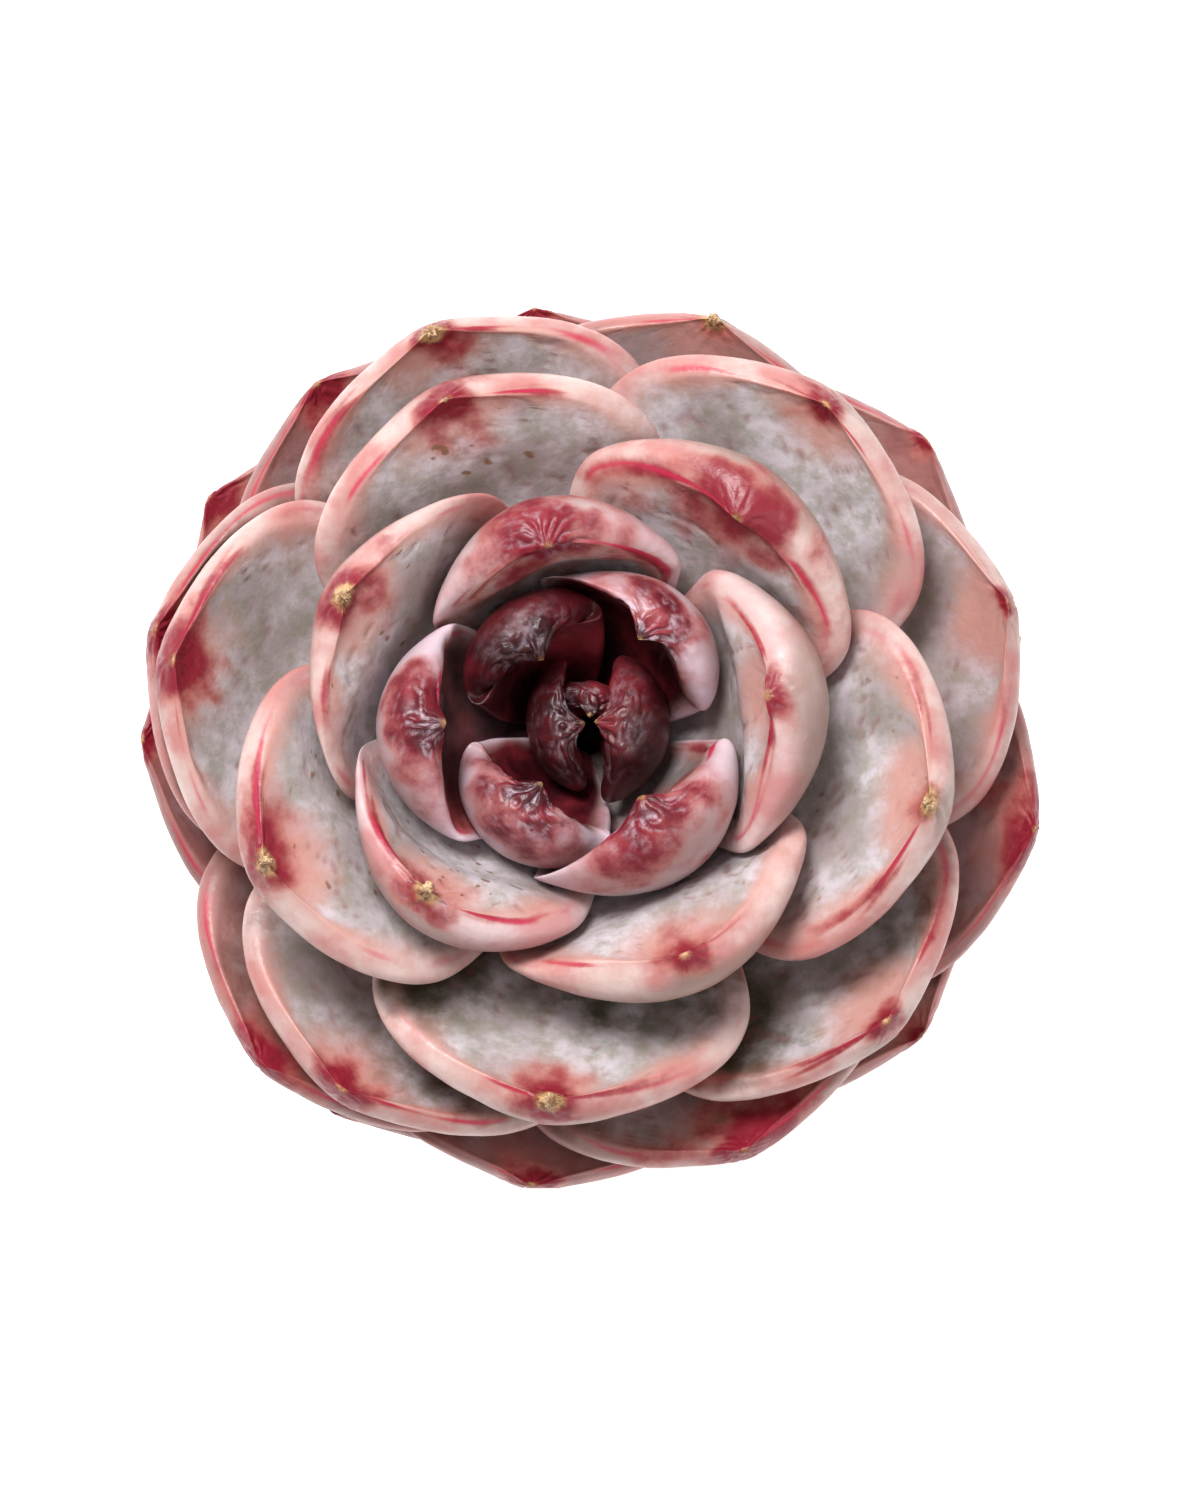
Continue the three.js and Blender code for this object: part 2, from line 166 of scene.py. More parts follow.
def fit(tree, value, low, high, newLow=0.0, newHigh=1.0):
    remap = tree.nodes.new("ShaderNodeMapRange")
    remap.interpolation_type = "SMOOTHSTEP"
    for name, number in (
        ("From Min", low), ("From Max", high), ("To Min", newLow), ("To Max", newHigh),
    ):
        remap.inputs[name].default_value = number
    tree.links.new(value, remap.inputs["Value"])
    return remap.outputs["Result"]


def combine(tree, operation, first, second):
    maths = tree.nodes.new("ShaderNodeMath")
    maths.operation = operation
    maths.use_clamp = operation in ("MULTIPLY", "ADD")
    for socket, value in zip(maths.inputs, (first, second)):
        if isinstance(value, (int, float)):
            socket.default_value = value
        else:
            tree.links.new(value, socket)
    return maths.outputs["Value"]


def paint(tree, share, under, over):  # lays one colour over another by a share
    mix = tree.nodes.new("ShaderNodeMix")
    mix.data_type = "RGBA"
    if isinstance(share, (int, float)):
        mix.inputs["Factor"].default_value = share
    else:
        tree.links.new(share, mix.inputs["Factor"])
    for socket, value in ((mix.inputs[6], under), (mix.inputs[7], over)):
        if isinstance(value, tuple):
            socket.default_value = (*value, 1)
        else:
            tree.links.new(value, socket)
    return mix.outputs[2]


def addBump(tree, shader, height, strength, distance, under=None):
    bump = tree.nodes.new("ShaderNodeBump")
    bump.inputs["Strength"].default_value = strength
    bump.inputs["Distance"].default_value = distance
    tree.links.new(height, bump.inputs["Height"])
    if under:
        tree.links.new(under, bump.inputs["Normal"])
    tree.links.new(bump.outputs["Normal"], shader.inputs["Normal"])
    return bump.outputs["Normal"]


# leaves: each skin grows from its CAD leaf's own corners, smoothed, creased and blushed

leafLook = {
    "smoothing": 3,
    "fitRounds": 3,  # tries at passing the smooth skin through the CAD corners
    "fitShare": 0.9,
    "ridgeColumn": 3,  # columns of corners between the middle of the upper face and a ridge
    "ridgeCrease": 0.3,
    "plainRings": 3,  # next to the seat, without a crease
    "ridgeAngle": 78.0,  # round the section from the middle of the upper face, degrees
    "wrinkleDepth": 0.5,  # mm, as are the next four
    "swell": 0.16,
    "dimple": 0.07,
    "ridgeRise": 0.1,
    "crackDepth": 0.26,
    "dryTips": (9, 11, 14, 15, 17, 21, 26),  # leaves whose point has dried to tan
    "scarred": (9, 11, 14, 16, 15),
    "blotched": {  # mm of stain round the point
        28: 7.0, 25: 9.0, 13: 9.0, 8: 9.0, 7: 9.0, 6: 7.0, 5: 8.5, 4: 7.5, 3: 7.0, 2: 6.0},
    "plainBlotch": (4.2, 1.2, 1.4),  # mm on the others: usual, less with age, from leaf to leaf
    "dryReach": (1.9, 0.35),  # mm of dried skin, where the point is dry and where it isn't
    "contactReach": (1.3, 4.5),  # mm of painted shade beside a leaf that lies on an inner or outer one
    "shaded": {17: 9.0, 20: 10.0, 22: 9.0, 24: 8.0, 25: 8.0, 27: 8.0},  # the leaves with the darkest painted shade, mm
}

leafTone = {  # as seen on screen, 0 to 255
    "face": (158, 144, 144),
    "bloom": (216, 208, 214),
    # painted shade colour, partly the leaf's own green-brown near its seat
    "oliveShade": (58, 52, 32),
    "moss": (126, 126, 100),
    "peach": (198, 146, 136),
    "flank": (198, 132, 128),
    "flankPale": (218, 190, 184),
    "back": (150, 122, 112),
    "brick": (190, 108, 98),
    "crimson": (138, 30, 46),
    "dark": (70, 14, 26),
    "streak": (194, 34, 74),
    "ridge": (222, 166, 156),
    "lilac": (224, 202, 216),
    "youngSide": (216, 196, 210),
    "aged": (136, 78, 76),
    "scar": (122, 84, 56),
    "dry": (206, 166, 118),
    "dryDark": (122, 76, 44),
    # maroon of the heart: the leaves' own colour deepened with painted shade; heartLit is a lighter
    # copy painted as light
    "heart": (52, 10, 16),
    "heartLit": (138, 42, 50),
}


def ringsFromTip(neighbours, tip):
    rings, seen = [[tip]], {tip}
    while True:
        ring = sorted(set().union(*(neighbours[i] for i in rings[-1])) - seen)
        if not ring:
            return rings
        rings.append(ring)
        seen.update(ring)


def leafGrid(node):  # the CAD leaf's corners: its tip, its rings in order, and its seat
    mesh = nodes[node].data
    loose = np.round(cornersOf(mesh), 7)
    corners, index = np.unique(loose, axis=0, return_inverse=True)
    neighbours = [set() for _ in corners]
    for edge in mesh.edges:
        a, b = index.ravel()[list(edge.vertices)]
        neighbours[a].add(b)
        neighbours[b].add(a)
    poles = sorted(range(len(corners)), key=lambda i: len(neighbours[i]))[-2:]
    tip, seat = sorted(poles, key=lambda i: -corners[i][2])
    outward = corners[seat] * (1, 1, 0)
    outward /= np.linalg.norm(outward)
    sideways = np.cross((0, 0, 1), outward)
    grid = []
    previous = corners[tip]
    for ring in ringsFromTip(neighbours, tip)[1:-1]:
        middle = corners[ring].mean(0)
        along = previous - middle
        upward = along[2] * -outward + np.dot(along, outward) * np.array((0, 0, 1))
        central = sorted(ring, key=lambda i: abs(np.dot(corners[i], sideways)))[:2]
        start = max(central, key=lambda i: np.dot(corners[i], upward))
        following = min(neighbours[start] & set(ring), key=lambda i: np.dot(corners[i], sideways))
        order = [start, following]
        while len(order) < len(ring):
            order.append((neighbours[order[-1]] & set(ring) - {order[-2]}).pop())
        grid.append(corners[order])
        previous = middle
    return corners[tip], np.array(grid), corners[seat]


def leafCage(name, tip, grid, seat):
    rings, columns = grid.shape[:2]
    corners = np.vstack([tip, grid.reshape(-1, 3), seat])
    at = lambda ring, column: 1 + ring * columns + column % columns
    faces = []
    for column in range(columns):
        faces.append((0, at(0, column), at(0, column + 1)))
        faces.append((len(corners) - 1, at(rings - 1, column + 1), at(rings - 1, column)))
        for ring in range(rings - 1):
            faces.append((at(ring, column), at(ring + 1, column),
                          at(ring + 1, column + 1), at(ring, column + 1)))
    mesh = bpy.data.meshes.new(name)
    mesh.from_pydata(corners.tolist(), [], faces)
    turn = 2 * math.pi * np.arange(columns) / columns
    along = np.repeat((np.arange(rings) + 1) / (rings + 1), columns)
    for label, first, values, last in (
        ("along", 0, along, 1),
        ("facing", 0, np.tile(np.cos(turn), rings), 0),
        ("sided", 0, np.tile(np.sin(turn), rings), 0),
    ):
        mask = mesh.attributes.new(label, "FLOAT", "POINT")
        mask.data.foreach_set("value", np.hstack([first, values, last]).astype(np.float32))
    crease = mesh.attributes.new("crease_edge", "FLOAT", "EDGE")
    ridges = (leafLook["ridgeColumn"], columns - leafLook["ridgeColumn"])
    creased = 1 + (rings - leafLook["plainRings"]) * columns
    for edge in mesh.edges:
        a, b = sorted(edge.vertices)
        runsAlong = a > 0 and b < len(corners) - 1 and b - a == columns
        if runsAlong and (a - 1) % columns in ridges and a < creased:
            crease.data[edge.index].value = leafLook["ridgeCrease"]
    piece = bpy.data.objects.new(name, mesh)
    bpy.context.scene.collection.objects.link(piece)
    onlySelect(piece)
    bpy.ops.object.mode_set(mode="EDIT")
    bpy.ops.mesh.select_all(action="SELECT")
    bpy.ops.mesh.normals_make_consistent(inside=False)
    bpy.ops.object.mode_set(mode="OBJECT")
    return piece, corners


def smoothThrough(piece, corners):  # a smooth skin that still passes through the given corners
    mesh = piece.data
    cage = corners.copy()
    trial = piece.modifiers.new("Trial", "SUBSURF")
    trial.levels = 1
    for _ in range(leafLook["fitRounds"]):
        depsgraph = bpy.context.evaluated_depsgraph_get()
        rounded = piece.evaluated_get(depsgraph).to_mesh()
        cage += (corners - cornersOf(rounded)[: len(corners)]) * leafLook["fitShare"]
        piece.evaluated_get(depsgraph).to_mesh_clear()
        moveCorners(mesh, cage)
    piece.modifiers.remove(trial)
    smoothing = leafLook["smoothing"]
    applyModifier(piece, "SUBSURF", levels=smoothing, render_levels=smoothing)


def maskOf(mesh, name):
    values = np.empty(len(mesh.vertices), np.float32)
    mesh.attributes[name].data.foreach_get("value", values)
    return values.astype(float)


def youngerLeaves(order):  # the CAD solids that may lie on a leaf, for measuring how near they are
    corners, faces = [], []
    for name in leafNames[:order]:
        mesh = nodes[name].data
        first = len(corners)
        corners += [vertex.co.copy() for vertex in mesh.vertices]
        faces += [[first + i for i in polygon.vertices] for polygon in mesh.polygons]
    return BVHTree.FromPolygons(corners, faces) if faces else None


def nearnessTo(tree, points, reach):
    if tree is None:
        return np.full(len(points), reach)
    return np.array([(tree.find_nearest(Vector(point) * mm, reach * mm)[3] or reach * mm) / mm
                     for point in points])


def dressLeaf(piece, tip, order):  # wrinkles, then the masks that its material reads
    mesh = piece.data
    points = cornersOf(mesh) / mm
    normals = normalsOf(mesh)
    along, facing, sided = (maskOf(mesh, name) for name in ("along", "facing", "sided"))
    around = np.degrees(np.arctan2(np.abs(sided), facing))  # 0 on the face, 180 on the keel
    side = np.sign(sided)
    toTip = points - tip / mm
    fromTip = np.linalg.norm(toTip, axis=1)
    youth = float(smoothStep(12, 4, order))
    age = float(smoothStep(19, 30, order))
    broad = noiseOver(points, 0.11, order)
    middling = noiseOver(points, 0.33, order + 0.5)
    fine = noiseOver(points, 0.9, order + 0.2)
    lengths = np.stack([along * 7 + order, around / 11, side + order * 0.3], axis=1)
    streaky = noiseOver(lengths, 1.0, order + 0.7)
    wander = np.stack([noiseOver(points, 0.4, order + turn) for turn in (1.1, 2.3, 3.7)], axis=1)
    spokes = noiseOver(toTip / np.maximum(fromTip, 0.4)[:, None] + 0.5 * wander, 2.2, order + 0.9)
    ridgeAngle = leafLook["ridgeAngle"]

    ridge = bell(around, ridgeAngle, 7) * smoothStep(0.8, 0.45, along)
    spoke = smoothStep(0.62, 1.0, 1 - np.abs(spokes))
    pinch = np.exp(-(((fromTip - 2.0) / (2.6 + 2.2 * youth)) ** 2)) * spoke
    lift = leafLook["swell"] * broad + leafLook["dimple"] * middling
    lift += leafLook["ridgeRise"] * ridge * (0.6 + middling)
    lift -= leafLook["wrinkleDepth"] * (0.4 + 0.6 * youth) * pinch
    crack = smoothStep(0.035, 0.0, np.abs(noiseOver(points, 0.16, order + 3.1)))
    crack *= smoothStep(0.1, 0.3, along) * smoothStep(0.7, 0.45, along) * smoothStep(80, 60, around)
    lift -= leafLook["crackDepth"] * crack
    stay = smoothStep(0.0, 1.2, fromTip) * smoothStep(1.0, 0.85, along)
    moveCorners(mesh, withinCad((points + normals * (lift * stay)[:, None]) * mm))

    flank = smoothStep(56, 104, around + 12 * middling + 9 * broad)
    back = smoothStep(118, 160, around + 14 * broad) * (1 - 0.6 * youth)
    nearEdge = smoothStep(34, 74, around + 12 * broad)
    peach = np.maximum(nearEdge * smoothStep(34, 10, fromTip), smoothStep(13, 3, fromTip + 3 * broad))
    usual, aging, varied = leafLook["plainBlotch"]
    reach = leafLook["blotched"].get(order, usual - aging * age + varied * math.sin(order * 2.4))
    spread = np.maximum(reach * (1 + 0.6 * middling + 0.6 * broad), 0.6)
    blush = np.exp(-((fromTip / spread) ** 2))
    strong = 1 if math.sin(order * 1.7) > 0 else -1  # one margin is redder than the other
    marginReach = 13 + 5 * math.sin(order) + 6 * (side == strong)
    margin = bell(around, 84 - 10 * youth, 15) * np.exp(-((fromTip / marginReach) ** 2))
    margin *= 1 - 0.8 * age
    blush = np.maximum(blush, margin * smoothStep(-0.3, 0.35, broad + 0.7 * streaky))
    streak = bell(around, ridgeAngle + 7 + 5 * broad, 5) * smoothStep(0.0, 0.3, streaky + 0.3 * broad)
    streak *= smoothStep(0.72, 0.4, along) * smoothStep(36, 14, fromTip)
    nearest, furthest = leafLook["contactReach"]
    reachIn = nearest + (furthest - nearest) * float(smoothStep(14, 24, order))
    reachIn = leafLook["shaded"].get(order, reachIn)
    # painted shade: the skin darkens where a younger leaf lies close over it
    gap = nearnessTo(youngerLeaves(order), points, reachIn)
    shade = smoothStep(1.0, 0.0, gap / reachIn + 0.16 * middling) * smoothStep(112, 84, around)
    rooted = float(smoothStep(15, 24, order))  # painted shade, partly the leaf's own green-brown: an outer leaf darkens further up from its seat
    seatShade = smoothStep(0.74 - 0.14 * rooted, 0.98 - 0.1 * rooted, along + 0.05 * middling)
    shade = np.maximum(shade, seatShade * (1 - 0.5 * flank))
    scarred = 1.0 if order in leafLook["scarred"] else 0.3
    scar = smoothStep(0.07, 0.0, np.abs(middling)) * smoothStep(0.1, 0.4, fine + 0.6 * broad)
    scar *= scarred * (1 - flank) * smoothStep(30, 6, fromTip)
    dryReach = leafLook["dryReach"][0 if order in leafLook["dryTips"] else 1]
    dry = smoothStep(dryReach * 1.25, dryReach * 0.7, fromTip + 0.5 * fine)
    # partly painted shade: the faces of leaves 4 to 8 turn dark maroon where they look into the deep
    # centre of the rosette
    inner = float(smoothStep(8.4, 5.5, order)) * (1 - flank) * smoothStep(1.5, 6.0, fromTip)
    # leaves 0 to 3 are maroon all over, their own colour deepened with painted shade
    heart = np.full(len(points), float(smoothStep(4.3, 3.1, order)))
    deep = np.exp(-((fromTip / (spread * 0.85)) ** 2)) * youth * smoothStep(-0.6, 0.0, middling)
    star = smoothStep(0.8, 1.0, 1 - np.abs(spokes)) * smoothStep(9.5, 2.0, fromTip)
    star *= youth * smoothStep(0.5, 2.0, fromTip) * (0.35 if order < 4 else 1.0)
    for name, values in (
        ("flank", flank), ("back", back), ("peach", peach), ("blush", blush), ("ridge", ridge),
        ("streak", streak), ("shade", shade), ("scar", scar), ("dry", dry), ("star", star),
        ("deep", deep), ("heartMaroonAndShade", np.maximum(inner, heart)), ("crack", crack),
        ("aged", np.full(len(points), age)), ("young", np.full(len(points), youth)),
    ):
        writeMask(mesh, name, values)


def leafSkinMaterial():
    material, tree, shader = startMaterial("leafSkin", 0.4)
    tone = {name: tint(*colour) for name, colour in leafTone.items()}
    cloud = addNoise(tree, 95, 4)
    mottle = addNoise(tree, 420, 5, 0.62)
    grain = addNoise(tree, 1500, 3)
    speckle = addNoise(tree, 900, 4, 0.7)
    mask = {name: readMask(tree, name) for name in (
        "flank", "back", "peach", "blush", "ridge", "streak", "shade", "scar", "dry", "star",
        "deep", "heartMaroonAndShade", "crack", "aged", "young")}

    def part(name, share):
        return combine(tree, "MULTIPLY", mask[name], share)

    def frayed(name, low, high, fray=0.25):  # a mask with a mottled, watery edge
        rough = fit(tree, mottle, 0.25, 0.75, -fray, fray)
        return fit(tree, combine(tree, "ADD", mask[name], rough), low, high)

    face = paint(tree, fit(tree, cloud, 0.34, 0.64, 0.05, 0.85), tone["face"], tone["bloom"])
    face = paint(tree, fit(tree, mottle, 0.38, 0.66, 0, 0.5), face, tone["moss"])
    face = paint(tree, frayed("peach", 0.12, 1.1, 0.14), face, tone["peach"])
    flank = paint(tree, fit(tree, cloud, 0.38, 0.6), tone["flank"], tone["flankPale"])
    flank = paint(tree, fit(tree, mottle, 0.4, 0.7, 0, 0.3), flank, tone["flank"])
    young = part("young", fit(tree, cloud, 0.3, 0.55, 0.45, 0.95))
    flank = paint(tree, young, flank, tone["youngSide"])
    flank = paint(tree, part("back", 0.85), flank, tone["back"])
    skin = paint(tree, mask["flank"], face, flank)
    # painted shade, partly the leaf's own green-brown: darker next to covering leaves and towards the
    # seat
    skin = paint(tree, frayed("shade", 0.08, 0.95, 0.1), skin, tone["oliveShade"])
    aged = part("aged", fit(tree, cloud, 0.3, 0.6, 0.3, 0.85))
    skin = paint(tree, aged, skin, tone["aged"])
    skin = paint(tree, part("ridge", 0.2), skin, tone["ridge"])
    skin = paint(tree, fit(tree, mask["blush"], 0.04, 0.5, 0, 0.7), skin, tone["brick"])
    skin = paint(tree, frayed("blush", 0.14, 0.8, 0.17), skin, tone["crimson"])
    skin = paint(tree, frayed("deep", 0.2, 0.95, 0.18), skin, tone["dark"])
    skin = paint(tree, part("streak", 0.9), skin, tone["streak"])
    # maroon of the heart leaves and the deep centre: partly the leaves' own colour, partly painted
    # shade, with patches of painted light in heartLit
    heartLitAndShaded = paint(tree, fit(tree, cloud, 0.42, 0.68, 0, 0.8), tone["heart"], tone["heartLit"])
    skin = paint(tree, mask["heartMaroonAndShade"], skin, heartLitAndShaded)
    skin = paint(tree, combine(tree, "MULTIPLY", part("star", 0.75), fit(tree, speckle, 0.35, 0.6)),
                 skin, tone["lilac"])
    skin = paint(tree, part("crack", 0.5), skin, tone["aged"])
    skin = paint(tree, fit(tree, mask["scar"], 0.2, 0.6, 0, 0.85), skin, tone["scar"])
    husk = paint(tree, fit(tree, speckle, 0.35, 0.6), tone["dryDark"], tone["dry"])
    skin = paint(tree, mask["dry"], skin, husk)
    tree.links.new(skin, shader.inputs["Base Color"])
    rough = fit(tree, mottle, 0.3, 0.75, 0.3, 0.5)
    tree.links.new(rough, shader.inputs["Roughness"])
    shader.inputs["Subsurface Weight"].default_value = 0.1
    shader.inputs["Subsurface Radius"].default_value = (1.0, 0.45, 0.35)
    shader.inputs["Subsurface Scale"].default_value = 0.0018
    shader.inputs["Specular IOR Level"].default_value = 0.45
    pores = addBump(tree, shader, grain, 0.12, 0.0003)
    addBump(tree, shader, mottle, 0.3, 0.0006, pores)
    return material


def makeLeaves():
    leafSkin = leafSkinMaterial()
    for name in leafNames:
        order = int(name.split("_")[1]) - 1
        tip, grid, seat = leafGrid(name)
        piece, corners = leafCage(name + "_skin", tip, grid, seat)
        smoothThrough(piece, corners)
        dressLeaf(piece, tip, order)
        bpy.ops.object.shade_smooth()
        finishPiece(piece, leafSkin, name)
    print("leaves grown:", len(leafNames))


makeLeaves()

# dried points: a crumpled husk on some of the tips

huskLook = {  # mm
    "radius": 0.95,
    "length": 1.15,
    "flatness": 0.85,
    "crumple": 0.42,
    "sunk": 0.3,  # into the leaf's point
}


def huskMaterial():
    material, tree, shader = startMaterial("driedHusk", 0.8)
    flakes = addNoise(tree, 1400, 4, 0.65)
    fleck = addNoise(tree, 500, 2)
    skin = paint(tree, fit(tree, flakes, 0.35, 0.62), tint(156, 110, 72), tint(228, 198, 158))
    skin = paint(tree, fit(tree, fleck, 0.5, 0.68, 0, 0.7), skin, tint(104, 62, 38))
    tree.links.new(skin, shader.inputs["Base Color"])
    tree.links.new(fit(tree, flakes, 0.3, 0.7, 0.65, 0.9), shader.inputs["Roughness"])
    addBump(tree, shader, flakes, 0.5, 0.0004)
    return material


def makeHusks():
    husk = huskMaterial()
    for order in leafLook["dryTips"]:
        name = f"leaf_{order + 1:02d}"
        tip, grid, _ = leafGrid(name)
        pointing = Vector(tip - grid[0].mean(0)).normalized()
        bpy.ops.mesh.primitive_ico_sphere_add(subdivisions=4, radius=huskLook["radius"] * mm)
        piece = bpy.context.object
        piece.name = f"dried_tip_{order + 1:02d}"
        points = cornersOf(piece.data) / mm
        stretch = huskLook["length"] / huskLook["radius"]
        rough = noiseOver(points, 1.3, order) + 0.6 * noiseOver(points, 3.1, order + 0.4)
        folds = np.abs(noiseOver(points * (1, 1, 0.3), 1.9, order + 0.8))
        swell = 1 + huskLook["crumple"] * (rough - 1.6 * folds)
        taper = 1 - 0.3 * smoothStep(-0.5, 1.0, points[:, 2] / huskLook["radius"])
        points *= (swell * taper)[:, None] * (1, huskLook["flatness"], stretch)
        turn = np.array(pointing.to_track_quat("Z", "X").to_matrix())
        points = points @ turn.T + tip / mm - np.array(pointing) * huskLook["sunk"]
        moveCorners(piece.data, withinCad(points * mm))
        bpy.ops.object.shade_smooth()
        finishPiece(piece, husk)
    print("dried tips:", len(leafLook["dryTips"]))


makeHusks()

# pot: turned in rings from its drain hole, out over the foot, up, over the rim and down inside

potLook = {
    "sides": 96,
    "wall": 3.6,  # mm, as are the others
    "floor": 4.5,
    "drainRadius": 5.0,
    "footRadius": 26.0,
    "rimHeight": 15.0,
    "rimProud": 2.4,
    "rounding": 1.3,
    "unevenness": 0.16,
    "standsOff": 0.02,  # clear of the surface below it
    "longRun": 4.0,  # a run of wall taller than this gets rings of its own
    "ringCuts": 24,
}


def turnRings(name, profile, sides):  # a shell from circles, each pulled out of the one before
    bpy.ops.object.select_all(action="DESELECT")
    radius, height = profile[0]
    bpy.ops.mesh.primitive_circle_add(vertices=sides, radius=radius * mm, location=(0, 0, height * mm))
    piece = bpy.context.object
    piece.name = name
    bpy.ops.object.transform_apply(location=True, rotation=True, scale=True)
    bpy.ops.object.mode_set(mode="EDIT")
    bpy.ops.mesh.select_all(action="SELECT")
    for newRadius, newHeight in profile[1:]:
        grow = newRadius / radius
        bpy.ops.mesh.extrude_region_move(
            TRANSFORM_OT_translate={"value": (0, 0, (newHeight - height) * mm)})
        bpy.ops.transform.resize(value=(grow, grow, 1), center_override=(0, 0, newHeight * mm))
        radius, height = newRadius, newHeight
    bpy.ops.mesh.select_all(action="SELECT")
    bpy.ops.mesh.remove_doubles(threshold=0.00001)
    bpy.ops.mesh.normals_make_consistent(inside=False)
    bpy.ops.object.mode_set(mode="OBJECT")
    return piece


def clayMaterial():
    material, tree, shader = startMaterial("firedClay", 0.85)
    cloud = addNoise(tree, 38, 4)
    blot = addNoise(tree, 120, 5, 0.6)
    sand = addNoise(tree, 1800, 3)
    turning = addNoise(tree, 60, 2, 0.5, (0.15, 0.15, 14))
    clay = paint(tree, fit(tree, cloud, 0.3, 0.7), tint(170, 92, 62), tint(204, 128, 92))
    clay = paint(tree, fit(tree, turning, 0.4, 0.65, 0, 0.3), clay, tint(150, 76, 52))
    clay = paint(tree, fit(tree, sand, 0.58, 0.7, 0, 0.5), clay, tint(222, 168, 134))
    lime = combine(tree, "MULTIPLY", readMask(tree, "limed"), fit(tree, blot, 0.36, 0.62))
    clay = paint(tree, combine(tree, "MULTIPLY", lime, 0.75), clay, tint(224, 206, 190))
    damp = combine(tree, "MULTIPLY", readMask(tree, "damp"), fit(tree, cloud, 0.3, 0.6))
    clay = paint(tree, combine(tree, "MULTIPLY", damp, 0.6), clay, tint(112, 62, 44))
    worn = combine(tree, "MULTIPLY", readMask(tree, "worn"), 0.5)
    clay = paint(tree, worn, clay, tint(222, 160, 126))
    tree.links.new(clay, shader.inputs["Base Color"])
    tree.links.new(fit(tree, blot, 0.3, 0.7, 0.74, 0.95), shader.inputs["Roughness"])
    grit = addBump(tree, shader, sand, 0.3, 0.0004)
    rings = addBump(tree, shader, turning, 0.35, 0.0006, grit)
    addBump(tree, shader, blot, 0.2, 0.0006, rings)
    return material


def makePot():
    look = potLook
    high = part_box("pot")[1]
    top, rim = high[2] / mm, high[0] / mm
    wallTop = rim - look["rimProud"]
    inner, innerFoot = wallTop - look["wall"], look["footRadius"] - look["wall"]
    ledge, under = top - look["rimHeight"], look["standsOff"]
    piece = turnRings("clay_pot", [
        (look["drainRadius"], under),
        (look["footRadius"], under),
        (wallTop, ledge),
        (rim, ledge),
        (rim, top),
        (inner, top),
        (innerFoot, look["floor"]),
        (look["drainRadius"], look["floor"]),
        (look["drainRadius"], under),
    ], look["sides"])
    applyModifier(piece, "BEVEL", width=look["rounding"] * mm, segments=4, limit_method="ANGLE",
                  angle_limit=math.radians(25))
    onlySelect(piece)
    bpy.ops.object.mode_set(mode="EDIT")
    bpy.ops.mesh.select_all(action="DESELECT")
    bpy.ops.object.mode_set(mode="OBJECT")
    for edge in piece.data.edges:
        a, b = (piece.data.vertices[i].co for i in edge.vertices)
        edge.select = abs(a.z - b.z) > look["longRun"] * mm
    bpy.ops.object.mode_set(mode="EDIT")
    bpy.ops.mesh.subdivide(number_cuts=look["ringCuts"])
    bpy.ops.object.mode_set(mode="OBJECT")
    points = cornersOf(piece.data) / mm
    normals = normalsOf(piece.data)
    turning = noiseOver(points * (0.012, 0.012, 0.42), 1.0, 4)
    lift = look["unevenness"] * (0.7 * noiseOver(points, 0.06, 2) + turning - 0.9)
    lift *= smoothStep(0.1, 1.5, points[:, 2])
    radius = np.hypot(points[:, 0], points[:, 1])
    outside = normals[:, 0] * points[:, 0] + normals[:, 1] * points[:, 1] > 0
    blotch = noiseOver(points, 0.05, 9)
    moveCorners(piece.data, (points + normals * lift[:, None]) * mm)
    height = points[:, 2]
    limed = (bell(height, ledge - 4, 9) + bell(height, 3, 6)) * (0.55 + blotch) * outside
    writeMask(piece.data, "limed", limed)
    damp = smoothStep(30, 4, height + 14 * blotch) * outside + 0.8 * (1 - outside)
    writeMask(piece.data, "damp", damp)
    worn = bell(height, top, 1.0) + bell(height, ledge + 0.5, 0.9) * (radius > rim - 1.5)
    writeMask(piece.data, "worn", worn * (0.6 + noiseOver(points, 0.3, 7)))
    applyModifier(piece, "TRIANGULATE")
    bpy.ops.object.shade_smooth_by_angle(angle=math.radians(50))
    finishPiece(piece, clayMaterial(), "pot")
    print("pot turned:", len(piece.data.polygons), "faces")


makePot()

# mix: a crumbly skin over the CAD plug, with loose grit on top

mixLook = {
    "crumb": 0.55,  # mm
    "gritCount": 420,
    "gritClear": 7.2,  # mm between the rim's outside and the furthest grit
    "gritDeep": 6.0,  # mm below the mix's crown, where grit stops
    "seed": 12,
}
gritKinds = {  # name: size in mm, share of the grit, darker and lighter colour
    "pumice": (1.5, 0.36, (176, 166, 150), (222, 214, 200)),
    "lava": (1.3, 0.24, (74, 40, 32), (120, 66, 50)),
    "bark_chip": (1.9, 0.4, (66, 44, 30), (112, 78, 52)),
}


def crumbMaterial(name, dark, light, scale):
    material, tree, shader = startMaterial(name, 0.9)
    lump = addNoise(tree, scale, 4, 0.6)
    dust = addNoise(tree, scale * 5, 3, 0.6)
    skin = paint(tree, fit(tree, lump, 0.3, 0.7), tint(*dark), tint(*light))
    skin = paint(tree, fit(tree, dust, 0.55, 0.75, 0, 0.5), skin, tint(*light))
    tree.links.new(skin, shader.inputs["Base Color"])
    tree.links.new(fit(tree, dust, 0.3, 0.7, 0.8, 0.98), shader.inputs["Roughness"])
    pits = addBump(tree, shader, dust, 0.5, 0.0004)
    addBump(tree, shader, lump, 0.5, 0.0009, pits)
    return material


